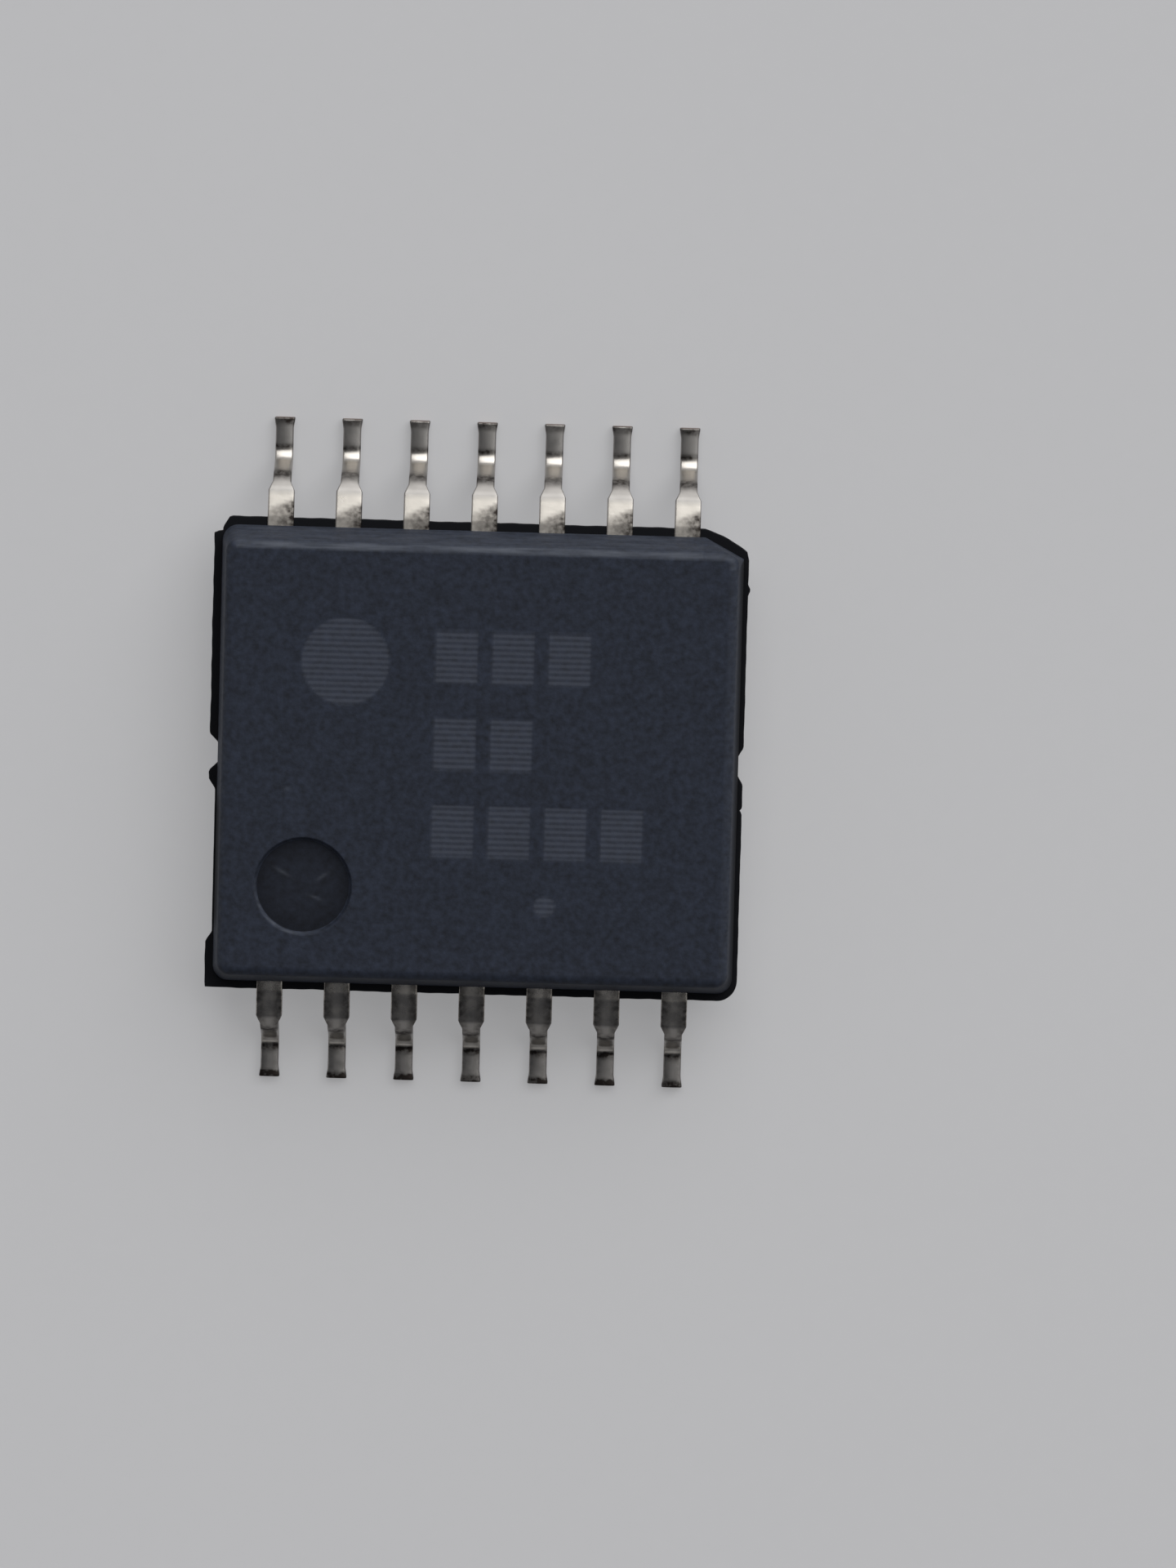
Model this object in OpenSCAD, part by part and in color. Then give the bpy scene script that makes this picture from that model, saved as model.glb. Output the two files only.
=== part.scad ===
// Thin small-outline chip: epoxy moulding, gull-wing leads, die pad, die and bond wires.
// Millimetres. +X runs along the lead rows, +Y across them and +Z up.
// The origin is the centre of the seating plane, under the solder feet.

/* [Moulded body] */
// Length of the body along the lead rows, at the parting line
body_len = 5; // [4.8:0.05:6]
// Width of the body across the lead rows, at the parting line
body_wid = 4.4; // [4:0.05:4.8]
// Thickness of the body
body_thk = 1; // [0.85:0.05:1.2]
// Gap between the seating plane and the underside of the body
standoff = 0.1; // [0.02:0.01:0.2]
// Draft angle of the two end walls, from vertical
end_draft = 8; // [3:1:15]
// Draft angle of the two lead-side walls, from vertical
side_draft = 15; // [3:1:18]
// Corner radius of the body at the parting line
corner_r = 0.15; // [0.08:0.01:0.25]
// Edge radius round the top and the bottom face
edge_r = 0.1; // [0.03:0.01:0.12]

/* [Moulding flash] */
// Width of the flash on the left end wall
flash_left = 0.085; // [0.03:0.005:0.12]
// Width of the flash on the right end wall
flash_right = 0.05; // [0.03:0.005:0.12]
// Width of the flash between the leads
flash_side = 0.08; // [0.03:0.005:0.15]
// Thickness of the flash
flash_thk = 0.1; // [0.04:0.01:0.12]
// Width of a tie-bar window in the flash, at its mouth
window_mouth = 0.36; // [0.3:0.01:0.5]
// Where the broken stretch on the left end starts, from the middle
break_start = 0.26; // [0.26:0.01:0.6]
// Length of the broken stretch
break_len = 1.57; // [0.5:0.01:1.6]
// Width of flash left standing along the broken stretch
break_root = 0.02; // [0.005:0.001:0.03]
// Length of the slanted end of the broken stretch
break_slant = 0.09; // [0.02:0.01:0.15]
// Size of the small chip off the flash at the left rear corner
corner_chip = 0.15; // [0.05:0.01:0.25]
// Radius of the flash at the right front corner
front_corner_r = 0.2; // [0.1:0.01:0.3]
// Length along X of the cut where the moulding gate was broken off
gate_cut_x = 0.43; // [0.2:0.01:0.46]
// Length along Y of the cut where the moulding gate was broken off
gate_cut_y = 0.23; // [0.15:0.01:0.4]
// How far the middle of that cut stands out from a straight line
gate_bulge = 0.03; // [0:0.005:0.04]
// How far the corner of the body stands back from that cut, along X and along Y
gate_setback = 0.05; // [0.02:0.005:0.08]
// How far the small spur stands out from the flash on the right end
spur_reach = 0.025; // [0.01:0.005:0.04]
// Distance of the spur from the gate's cut
spur_drop = 0.35; // [0.2:0.01:0.6]
// Length of the spur where it leaves the flash
spur_len = 0.1; // [0.05:0.01:0.2]

/* [Recesses] */
// Diameter of the pin-1 recess at the top face
pin1_d = 0.94; // [0.5:0.02:1.1]
// Depth of the pin-1 recess
pin1_depth = 0.05; // [0.02:0.01:0.08]
// Centre of the pin-1 recess from the end wall
pin1_from_end = 0.86; // [0.75:0.01:1.2]
// Centre of the pin-1 recess from the lead-side wall
pin1_from_side = 0.98; // [0.8:0.01:1.3]
// Wall angle of the recesses, from vertical
recess_draft = 25; // [5:1:45]
// Diameter of the ejector mark under the body
ejector_d = 1; // [0.6:0.05:1.4]
// Depth of the ejector mark
ejector_depth = 0.03; // [0.01:0.01:0.06]

/* [Leads] */
// Leads in each of the two rows
leads_per_row = 7; // [4:1:7]
// Spacing of the leads
pitch = 0.65; // [0.5:0.05:0.7]
// Width over both rows, from toe to toe
lead_span = 6.4; // [6.2:0.05:7]
// Thickness of the lead frame
lead_thk = 0.127; // [0.1:0.001:0.16]
// Width of a lead at its toe
foot_wid = 0.2; // [0.18:0.01:0.25]
// Width of a lead along its leg and most of its foot
waist_wid = 0.17; // [0.14:0.01:0.18]
// Width of a lead where it leaves the body
shoulder_wid = 0.25; // [0.2:0.01:0.3]
// Flat length of the foot
foot_len = 0.3; // [0.2:0.01:0.4]
// Length of the flare that widens the foot to its toe
toe_flare = 0.1; // [0.05:0.01:0.2]
// Angle by which the shoulder slopes down, from where it leaves the flash
shoulder_slope = 10; // [2:1:15]
// Angle of the leg above horizontal
leg_angle = 70; // [60:1:85]
// Upper bend radius at the middle of the metal
bend_r = 0.12; // [0.1:0.01:0.18]
// Lower bend radius at the middle of the metal
heel_r = 0.18; // [0.1:0.01:0.22]
// Length of the taper between shoulder and leg widths
lead_taper = 0.06; // [0.03:0.01:0.12]

/* [Lead frame inside] */
// Length of the die pad along X
pad_len = 2.9; // [2:0.05:3.2]
// Width of the die pad along Y
pad_wid = 1.9; // [1.3:0.05:2.1]
// How far the die pad is set down below the leads
downset = 0.15; // [0.05:0.01:0.2]
// Slope of the tie bars where they are set down
downset_angle = 35; // [20:1:55]
// Straight length of tie bar between the pad and its slope
tie_root = 0.08; // [0.05:0.01:0.2]
// Width of a tie bar
tie_wid = 0.2; // [0.12:0.01:0.28]
// Gap between the die pad and the tips of the lead fingers
finger_gap = 0.2; // [0.12:0.01:0.3]
// Spacing of the finger tips
tip_pitch = 0.42; // [0.36:0.01:0.5]
// Width of a finger tip
tip_wid = 0.2; // [0.14:0.01:0.25]
// Straight length of a finger tip
tip_len = 0.25; // [0.15:0.01:0.35]
// Straight length of a lead inside the body wall
root_len = 0.3; // [0.15:0.01:0.4]

/* [Die and bond wires] */
// Length of the die along X
die_len = 1.1; // [1:0.05:1.8]
// Width of the die along Y
die_wid = 0.95; // [0.7:0.05:1.5]
// Thickness of the die
die_thk = 0.25; // [0.15:0.01:0.3]
// Thickness of the die-attach layer
attach_thk = 0.03; // [0.01:0.005:0.05]
// How far the die-attach layer stands out round the die
attach_rim = 0.04; // [0.01:0.01:0.1]
// Spacing of the bond pads along each long edge of the die
bond_pitch = 0.13; // [0.1:0.01:0.14]
// Centre of the bond pads from the edge of the die
bond_inset = 0.08; // [0.05:0.01:0.15]
// Diameter of a bond wire
wire_d = 0.025; // [0.018:0.001:0.04]
// Diameter of the ball bond on the die
ball_d = 0.062; // [0.05:0.002:0.09]
// Height of the ball bond
ball_h = 0.024; // [0.015:0.001:0.035]
// Straight rise of the wire above the ball
neck_h = 0.05; // [0.02:0.01:0.08]
// Radius of the bend at the top of the wire loop
loop_r = 0.08; // [0.04:0.01:0.1]
// Where the wire meets the lead finger, from the finger's tip
stitch_inset = 0.1; // [0.05:0.01:0.15]

/* [Hidden] */
$fn = 48;
// Facets on a full turn of the moulded body's rounded corners
round_fn = 24;
// Length by which a cutting shape runs past what it cuts
past = 0.2;
// Share of the chip at the flash's left rear corner that slants, before its square step
chip_slant = 0.7;
// Straight lengths that make up the bulging cut of the gate
gate_steps = 4;
// A bend is this much slimmer than the straight lengths that it joins, and laps into them by this angle
bend_slim = 0.98;
bend_lap = 3;

lead_count = 2 * leads_per_row;
// Middle of the lead frame, which is the parting plane of the moulding
frame_z = standoff + body_thk / 2;
lead_top_z = frame_z + lead_thk / 2;
body_top_z = standoff + body_thk;

// Centres of the spheres that round the top and bottom edges of the moulding
edge_up = body_thk / 2 - edge_r;
edge_rise = edge_up - lead_thk / 2;
edge_x = body_len / 2 - edge_rise * tan(end_draft) - edge_r / cos(end_draft);
edge_y = body_wid / 2 - edge_rise * tan(side_draft) - edge_r / cos(side_draft);

flash_y = body_wid / 2 + flash_side;

// Side view of a lead: shoulder and leg share the run and the drop that the bends leave over
foot_mid_z = lead_thk / 2;
toe_y = lead_span / 2;
heel_y = toe_y - foot_len;
straight_run = heel_y - flash_y - (bend_r + heel_r) * sin(leg_angle);
straight_drop = frame_z - foot_mid_z - (bend_r + heel_r) * (1 - cos(leg_angle));
knee_turn = leg_angle - shoulder_slope;
shoulder_len = (straight_run * sin(leg_angle) - straight_drop * cos(leg_angle)) / sin(knee_turn);
leg_len = (straight_drop * cos(shoulder_slope) - straight_run * sin(shoulder_slope)) / sin(knee_turn);
knee_y = flash_y + bend_r * sin(shoulder_slope) + shoulder_len * cos(shoulder_slope);

// Plan view of a lead finger
tip_y = pad_wid / 2 + finger_gap;
root_y = body_wid / 2 - root_len;

pad_z = frame_z - downset;
pad_top_z = pad_z + lead_thk / 2;
die_z = pad_top_z + attach_thk;
die_top_z = die_z + die_thk;

epoxy_black = "#2a2e37";
tin_plate = "#b9b3aa";
bare_copper = "#b87848";
silver_epoxy = "#c9c9c4";
silicon = "#5d6470";
gold = "#d9b24a";

function two_digits(n) = str(n < 10 ? "0" : "", n);
function lead_name(n) = str("lead_", two_digits(n));
function wire_name(n) = str("bond_wire_", two_digits(n));

// Leads 1 to leads_per_row are the front row, left to right. The rear row runs back, right to left.
function in_front(n) = n <= leads_per_row;
// Place of a lead in its own row, counted from the middle, after the front row is turned to the rear
function row_place(n) = (leads_per_row + 1) / 2 - (in_front(n) ? n : n - leads_per_row);

// Turns what is drawn for the rear row to the row that lead n is in
module turn_to_row(n) {
    rotate(in_front(n) ? 180 : 0)
        children();
}

// Bend of a lead, of radius r between two angles
module bend(r, from, to) {
    half = bend_slim * lead_thk / 2;
    first = from - bend_lap;
    last = to + bend_lap;
    middle = (from + to) / 2;
    reach = 2 * (r + half);
    intersection() {
        difference() {
            circle(r + half);
            circle(r - half);
        }
        polygon([
            [0, 0],
            reach * [cos(first), sin(first)],
            reach * [cos(middle), sin(middle)],
            reach * [cos(last), sin(last)]
        ]);
    }
}

// Side view of a formed lead, with Y to the right and Z up
module lead_profile() {
    // Centres of the bends down to the shoulder's slope, and from there down to the leg
    dip = [flash_y, frame_z - bend_r];
    knee = dip + shoulder_len * [cos(shoulder_slope), -sin(shoulder_slope)];
    translate([tip_y - past, frame_z - lead_thk / 2])
        square([flash_y - tip_y + past, lead_thk]);
    translate(dip)
        bend(bend_r, 90 - shoulder_slope, 90);
    translate(dip)
        rotate(-shoulder_slope)
            translate([0, bend_r - lead_thk / 2])
                square([shoulder_len, lead_thk]);
    translate(knee)
        bend(bend_r, 90 - leg_angle, 90 - shoulder_slope);
    translate(knee)
        rotate(-leg_angle)
            translate([0, bend_r - lead_thk / 2])
                square([leg_len, lead_thk]);
    translate([heel_y, foot_mid_z + heel_r])
        bend(heel_r, 270 - leg_angle, 270);
    translate([heel_y, 0])
        square([foot_len, lead_thk]);
}

// Stamped outline of a lead seen from above, with its inner finger moved sideways by shift
module lead_outline(shift) {
    half = [
        [tip_wid / 2, tip_y, shift],
        [tip_wid / 2, tip_y + tip_len, shift],
        [shoulder_wid / 2, root_y, 0],
        [shoulder_wid / 2, knee_y, 0],
        [waist_wid / 2, knee_y + lead_taper, 0],
        [waist_wid / 2, toe_y - toe_flare, 0],
        [foot_wid / 2, toe_y, 0],
        [foot_wid / 2, toe_y + past, 0]
    ];
    last = len(half) - 1;
    polygon(concat(
        [for (p = half) [p[2] + p[0], p[1]]],
        [for (i = [last:-1:0]) [half[i][2] - half[i][0], half[i][1]]]
    ));
}

// One lead: the stamped outline formed to the gull-wing profile
module lead(n) {
    shift = row_place(n) * (tip_pitch - pitch);
    band = 2 * (abs(shift) + max(shoulder_wid, foot_wid, tip_wid));
    color(tin_plate)
        turn_to_row(n)
            translate([row_place(n) * pitch, 0, 0])
                intersection() {
                    rotate([90, 0, 90])
                        linear_extrude(height = band, center = true)
                            lead_profile();
                    translate([0, 0, -past])
                        linear_extrude(height = lead_top_z + 2 * past)
                            lead_outline(shift);
                }
}

function unit(v) = v / norm(v);
function left_of(a, b) = let (d = unit(b - a)) [-d[1], d[0]];

// Points at distance h to the left of a path, mitred at its corners
function beside(path, h) = [
    for (i = [0:len(path) - 1])
        let (before = i > 0 ? left_of(path[i - 1], path[i]) : left_of(path[0], path[1]))
        let (after = i < len(path) - 1 ? left_of(path[i], path[i + 1]) : before)
        path[i] + h * (before + after) / (1 + before * after)
];

// A strip of even thickness along a path
module strip(path, thickness) {
    upper = beside(path, thickness / 2);
    lower = beside(path, -thickness / 2);
    polygon(concat(lower, [for (i = [len(upper) - 1:-1:0]) upper[i]]));
}

// Die pad and its two tie bars, stamped as one piece and set down between the bars
module die_pad() {
    low_x = pad_len / 2 + tie_root;
    high_x = low_x + downset / tan(downset_angle);
    end_x = body_len / 2;
    side_view = [
        [-end_x, frame_z],
        [-high_x, frame_z],
        [-low_x, pad_z],
        [low_x, pad_z],
        [high_x, frame_z],
        [end_x, frame_z]
    ];
    color(bare_copper)
        intersection() {
            rotate([90, 0, 0])
                linear_extrude(height = pad_wid + 2 * past, center = true)
                    strip(side_view, lead_thk);
            linear_extrude(height = body_top_z) {
                square([pad_len, pad_wid], center = true);
                square([body_len + 2 * past, tie_wid], center = true);
            }
        }
}

module die_attach() {
    color(silver_epoxy)
        translate([0, 0, pad_top_z + attach_thk / 2])
            cube([die_len + 2 * attach_rim, die_wid + 2 * attach_rim, attach_thk], center = true);
}

module die() {
    color(silicon)
        translate([0, 0, die_z + die_thk / 2])
            cube([die_len, die_wid, die_thk], center = true);
}

// Wire seen from the side: up from a ball bond, over a bend and straight down to the lead.
// run is the level distance to the end, and drop is how far the end lies below the die's top face.
module wire_loop(run, drop) {
    bend_z = ball_h + neck_h;
    // The straight length leaves the bend at the tangent that points at the wire's end
    to_end = [run - loop_r, -drop - bend_z];
    bend_end = atan2(to_end[1], to_end[0]) + acos(loop_r / norm(to_end));
    straight = sqrt(to_end * to_end - loop_r * loop_r);
    intersection() {
        translate([0, 0, ball_h / 2])
            sphere(d = ball_d);
        translate([0, 0, ball_h / 2])
            cube([2 * ball_d, 2 * ball_d, ball_h], center = true);
    }
    translate([0, 0, ball_h / 2])
        cylinder(d = wire_d, h = bend_z - ball_h / 2);
    translate([loop_r, 0, bend_z])
        rotate([90, 0, 0])
            rotate(bend_end - bend_lap)
                rotate_extrude(angle = 180 - bend_end + 2 * bend_lap)
                    translate([loop_r, 0])
                        circle(d = bend_slim * wire_d);
    difference() {
        translate([loop_r + loop_r * cos(bend_end), 0, bend_z + loop_r * sin(bend_end)])
            rotate([0, 180 - bend_end, 0])
                cylinder(d = wire_d, h = straight + wire_d * tan(bend_end));
        translate([run - past, -past, -drop - past])
            cube([2 * past, 2 * past, past]);
    }
}

// Wire from the die's bond pad for lead n to the finger of that lead
module bond_wire(n) {
    from = [row_place(n) * bond_pitch, die_wid / 2 - bond_inset];
    to = [row_place(n) * tip_pitch, tip_y + stitch_inset];
    way = to - from;
    color(gold)
        turn_to_row(n)
            translate([from[0], from[1], die_top_z])
                rotate(atan2(way[1], way[0]))
                    wire_loop(norm(way), die_top_z - lead_top_z);
}

// Tie-bar window in an end of the flash: way is 1 for the right end and -1 for the left one.
// It reaches a little behind the wall, so that the wall is its floor.
function tie_window(flash, way) =
    let (wall_x = body_len / 2)
    let (floor_x = wall_x - past / 2)
    way * [
        [wall_x + flash, -window_mouth / 2],
        [wall_x, -tie_wid / 2],
        [floor_x, -tie_wid / 2],
        [floor_x, tie_wid / 2],
        [wall_x, tie_wid / 2],
        [wall_x + flash, window_mouth / 2]
    ];

// Outline of the flash seen from above, anticlockwise from the left front corner
module flash_outline() {
    left_x = -body_len / 2 - flash_left;
    right_x = body_len / 2 + flash_right;
    root_x = -body_len / 2 - break_root;
    break_end = break_start + break_len;
    corner = [right_x - front_corner_r, front_corner_r - flash_y];
    turns = [-90 : 360 / $fn : 0];
    front_corner = [for (a = turns) corner + front_corner_r * [cos(a), sin(a)]];
    gate_low = [right_x, flash_y - gate_cut_y];
    gate_way = [-gate_cut_x, gate_cut_y];
    gate_out = unit([gate_cut_y, gate_cut_x]);
    gate_cut = [
        for (i = [0:gate_steps])
            let (t = i / gate_steps)
            gate_low + t * gate_way + gate_bulge * sin(180 * t) * gate_out
    ];
    spur_y = gate_low[1] - spur_drop;
    polygon(concat(
        [[left_x, -flash_y]],
        front_corner,
        tie_window(flash_right, 1),
        [
            [right_x, spur_y - spur_len / 2],
            [right_x + spur_reach, spur_y],
            [right_x, spur_y + spur_len / 2]
        ],
        gate_cut,
        [
            [left_x + corner_chip, flash_y],
            [-body_len / 2, flash_y - chip_slant * corner_chip],
            [-body_len / 2, flash_y - corner_chip],
            [left_x, flash_y - corner_chip]
        ],
        tie_window(flash_left, -1),
        [
            [left_x, -break_start],
            [root_x, -break_start - break_slant],
            [root_x, break_slant - break_end],
            [left_x, -break_end]
        ]
    ));
}

// The solid moulding without recesses: drafted both ways from the parting line, with rounded edges
module moulded_block() {
    hull() {
        translate([0, 0, frame_z])
            cube([2 * edge_x, 2 * edge_y, body_thk], center = true);
        for (sx = [-1, 1], sy = [-1, 1]) {
            translate([sx * (body_len / 2 - corner_r), sy * (body_wid / 2 - corner_r), frame_z])
                cylinder(r = corner_r, h = lead_thk, center = true, $fn = round_fn);
            for (sz = [-1, 1])
                translate([sx * edge_x, sy * edge_y, frame_z + sz * edge_up])
                    sphere(r = edge_r, $fn = round_fn);
        }
    }
}

// Upright wedge that takes off the body's right rear corner, behind the cut of the gate
module gate_break() {
    translate([body_len / 2 + flash_right - gate_setback, flash_y - gate_setback, 0])
        linear_extrude(height = body_top_z + past)
            polygon([
                [past, past],
                [-gate_cut_x - past * gate_cut_x / gate_cut_y, past],
                [past, -gate_cut_y - past * gate_cut_y / gate_cut_x]
            ]);
}

// Shallow round recess that widens towards its mouth at z = 0, cut downwards
module recess(d, depth) {
    widen = tan(recess_draft);
    translate([0, 0, -depth])
        cylinder(r1 = d / 2 - depth * widen, r2 = d / 2 + depth * widen, h = 2 * depth);
}

module mould_body() {
    color(epoxy_black)
        difference() {
            union() {
                difference() {
                    moulded_block();
                    gate_break();
                }
                translate([0, 0, frame_z - flash_thk / 2])
                    linear_extrude(height = flash_thk)
                        flash_outline();
            }
            translate([pin1_from_end - body_len / 2, pin1_from_side - body_wid / 2, body_top_z])
                recess(pin1_d, pin1_depth);
            translate([0, 0, standoff])
                rotate([180, 0, 0])
                    recess(ejector_d, ejector_depth);
            die_pad();
            die_attach();
            die();
            for (n = [1:lead_count])
                lead(n);
            for (n = [1:lead_count])
                bond_wire(n);
        }
}

mould_body();
die_pad();
die_attach();
die();
for (n = [1:lead_count]) {
    lead(n);
    bond_wire(n);
}
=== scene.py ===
"""Dresses a thin small-outline chip: epoxy moulding, tin-plated leads, sealed die and a studio stage."""

import math

import bpy
import numpy as np
from bpy.props import FloatProperty, FloatVectorProperty, PointerProperty
from mathutils import Matrix, Vector


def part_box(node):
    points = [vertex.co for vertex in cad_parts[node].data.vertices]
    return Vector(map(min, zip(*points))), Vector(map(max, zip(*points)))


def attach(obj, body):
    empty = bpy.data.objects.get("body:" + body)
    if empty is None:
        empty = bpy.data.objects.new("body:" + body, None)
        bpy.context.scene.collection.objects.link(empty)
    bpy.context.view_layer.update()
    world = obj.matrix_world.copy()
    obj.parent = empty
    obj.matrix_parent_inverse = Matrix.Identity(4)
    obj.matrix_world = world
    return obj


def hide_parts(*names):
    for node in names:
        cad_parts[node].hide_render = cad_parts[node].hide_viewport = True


bl_info = {
    "name": "Small-Outline Chip",
    "version": (1, 0, 0),
    "blender": (4, 5, 0),
    "location": "View3D > Sidebar > Chip",
    "description": "Builds the visible surfaces of a small-outline chip round its solid model",
    "category": "Object",
}

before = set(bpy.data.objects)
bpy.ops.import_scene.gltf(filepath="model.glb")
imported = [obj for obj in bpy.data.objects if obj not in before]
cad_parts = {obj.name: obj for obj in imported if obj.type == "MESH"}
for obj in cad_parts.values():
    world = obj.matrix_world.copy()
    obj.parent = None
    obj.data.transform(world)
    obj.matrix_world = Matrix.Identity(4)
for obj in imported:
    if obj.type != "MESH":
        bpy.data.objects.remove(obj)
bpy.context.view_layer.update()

MM = 0.001
# Points on each eighth of a turn of a rounded outline
ARC_STEPS = 6
# Faces that meet at more than this angle have a sharp edge between them
SHARP_ANGLE = math.radians(38)
# The body's box takes in the flash, and its height is the moulding's own
FLASH_LOW, FLASH_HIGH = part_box("mould_body")
BODY_BOTTOM, BODY_TOP = FLASH_LOW.z, FLASH_HIGH.z
# The lead frame lies in the parting plane, half way up the moulding
PARTING_Z = (BODY_TOP + BODY_BOTTOM) / 2
LEAD_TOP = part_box("lead_01")[1].z
LEAD_THICKNESS = 2 * (LEAD_TOP - PARTING_Z)
FINGER_TIP_Y = -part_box("lead_01")[1].y
TOE_Y = -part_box("lead_01")[0].y
LEAD_COUNT = sum(name.startswith("lead_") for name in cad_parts)

# Rings over the moulding's turned edge and down its wall, and points round the flash's corner and gate
EDGE_RINGS, WALL_RINGS, CORNER_POINTS, GATE_POINTS = 9, 5, 13, 9
# Radius of the corners of the flat top face
FACE_RADIUS = 0.03 * MM
# How squarely a wall has to face a side before it starts to take that side's painted light and shade
FACING = 0.7
# Painted highlight on the upper wall: over the rear edge and the end edges, and a lighter left wall
REAR_HIGHLIGHT, END_HIGHLIGHT, LEFT_LIGHT = 0.85, 0.4, 0.5
# Where that painted light and the painted shade down the walls lie, as rings counted from the last one of
# the turned edge, and their share at each
OVER_EDGE, EDGE_FOOT = ((-8, -6, -4, -2), (0, 1, 1, 0.4)), ((-8, 0, 2), (0, 1, 0))
ON_WALL, WALL_SHADE = ((-1, 1), (0, 1)), ((0, 4), (0, 0.9))
# Length over which the painted light and shade of the left wall change
LIGHT_AND_SHADE_FADE = 0.3 * MM
# Share of the chip at the flash's left rear corner that slants, before its square step
CHIP_SLANT = 0.7
# Upper half of the flash's cross-section: shares of its width and of its half thickness
FLASH_SECTION = ((0, 1), (0.5, 1), (0.93, 0.97), (0.99, 0.85), (1, 0.6))
# How far the wall stands back from the end of a tie bar
WINDOW_RELIEF = 0.008 * MM
# Share of the flash's width by which its edge wanders, in waves of so many radians a millimetre from a phase
UNEVEN, EDGE_WAVES = 0.1, ((5.1, 0), (13.7, 1), (31, 2))
# Least width that the flash has anywhere
LEAST_WIDTH = 0.002 * MM
# Nick in the flash: its place along the right end, its half length and the share of the width that it takes
NICK_Y, NICK_SIZE, NICK_SHARE = -0.43 * MM, 0.018 * MM, 0.5

# Rounding at the lip of a recess
LIP_ROUND = 0.006 * MM
# Rings down the ejector mark's lip, on its floor as shares of its radius, and round it as shares of the way
EJECTOR_LIP, EJECTOR_FLOOR, EJECTOR_ROUND = 6, (0.6, 0.2), (0.3, 0.6, 0.85)
# Rings down the pin-1 recess's lip, and round its mouth and on its floor as shares of its radius
PIN1_LIP, PIN1_MOUTH, PIN1_FLOOR = 11, 1.02, np.linspace(0.9, 0.05, 18)
# Grid cells between the rim of that recess and the square hole that is left for it
HOLE_MARGIN = 3
# How black its floor is painted, as shade in the recess, in the middle and at its edge; the flash is at 1
FLOOR_SHADE = (0.4, 0.75)
# Scuffs in its floor, in millimetres and degrees: x and y from its centre, half length, half width, bearing
SCUFFS = ((-0.2, 0.13, 0.08, 0.018, -30), (0.18, 0.09, 0.07, 0.018, 38), (0.12, -0.11, 0.06, 0.016, -20))
# A painted highlight on its lip and the rubbing of the scratch in the face, and the share of it that a scuff
# has
FACE_RUB_AND_HIGHLIGHT, SCUFF_SHARE = 0.8, 0.5
# Scratch in the top face: centre x and y, half length, half width and depth
FACE_NICK = np.array([-1.81, -0.28, 0.035, 0.014, 0.006]) * MM
# Blocks in each marked row, left edge of the rows and middle of the first one
MARK_ROWS, MARK_LEFT, MARK_TOP = (3, 2, 4), -0.42 * MM, 1.03 * MM
# The marked disc and dot: centre x and y, and radius
DISC, DOT = np.array([-1.28, 0.96, 0.42]) * MM, np.array([0.68, -1.35, 0.1]) * MM

# Rings along a lead's finger, bend, shoulder, knee, leg, heel and foot, and steps that sum up its path
LEAD_RINGS, PATH_STEPS = (20, 4, 8, 12, 8, 16, 16), 4000
# Points along each side of its section and steps round its toe
STRIP_POINTS, TOE_STEPS = 4, 4
# Radii of its upper corners, its lower corners and its toe
ROLLED, SQUARE, TOE_ROUND = 0.015 * MM, 0.008 * MM, 0.012 * MM
# How far the edges of its upper face lie below the middle, and the length past the knee over which they sink
CROWN, CROWN_FADE = 0.007 * MM, 0.1 * MM
# Places past the knee at which the forming tool starts and stops to dull a lead, which also darkens it as
# painted shade, and to scrape it
KNEE_DULL_AND_SHADE, KNEE_SCRAPE = np.array([[-0.05, 0, 0.1, 0.14], [0, 0.03, 0.1, 0.14]]) * MM
# Dullness and painted shade at the last three of those places, at the heel and on the foot, and the fade
# between these two
DULLED_AND_SHADED, HEEL_FADE = (1, 0.9, 0.6, 0.6, 1), 0.03 * MM
# Each row's dullness with painted shade at the shoulder, painted shade on leg and heel, dirt on the toe, and
# the place past the heel and half width of the painted shade at the heel
ROW_WEAR_AND_SHADE = {
    "front": (0, 1.0, 1.1, -0.01 * MM, 0.05 * MM),
    "rear": (0.35, 0.8, 0.65, 0.02 * MM, 0.028 * MM),
}
# Each lead's own share of dirt and painted shade is a wave: its height, and its turn in radians from one
# lead to the next
OWN_HEIGHT, OWN_TURN = 0.15, 2.4
# Painted shade on the leg, a painted dark reflection: place past the knee and half width; dirt on the toe:
# distance from the tip and fade
LEG_SHADE, TOE_DIRT = np.array([[0.105, 0.03], [0.09, 0.05]]) * MM
# Painted shade on the sides of a front lead at knee and heel, and shares of the half width where it starts
# and grows
SIDE_SHADE, SIDE_START, SIDE_FADE = (0.6, 0.3), 0.15, 0.6
# Resin on the roots of the rear leads, with painted shade along their right sides: reach in millimetres and
# strength, each with its growth rightwards; share of a lead's own dirt and painted shade that adds to the
# reach; length of the fade
FILM_REACH, FILM_RESIN_AND_SHADE, FILM_OWN, FILM_FADE = (0.12, 0.05), (0.52, 0.3), 1 / 6, 0.05 * MM

# Half side of the floor in metres
FLOOR_REACH = 1.5
# Soft boxes: place and size in metres, and radiance
SOFT_BOXES = {
    "key_light": ((0.106, 0.274, 0.283), (0.5, 0.53), 2.8),
    "side_light": ((0.22, 0.0, 0.45), (0.16, 0.3), 0.8),
    "front_light": ((0.0, -0.33, 0.205), (0.5, 0.12), 0.7),
}
# Width of the camera's sensor in millimetres, and its nearest sight as a share of its distance
SENSOR_WIDTH, NEAR_SHARE = 36, 0.01
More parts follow.
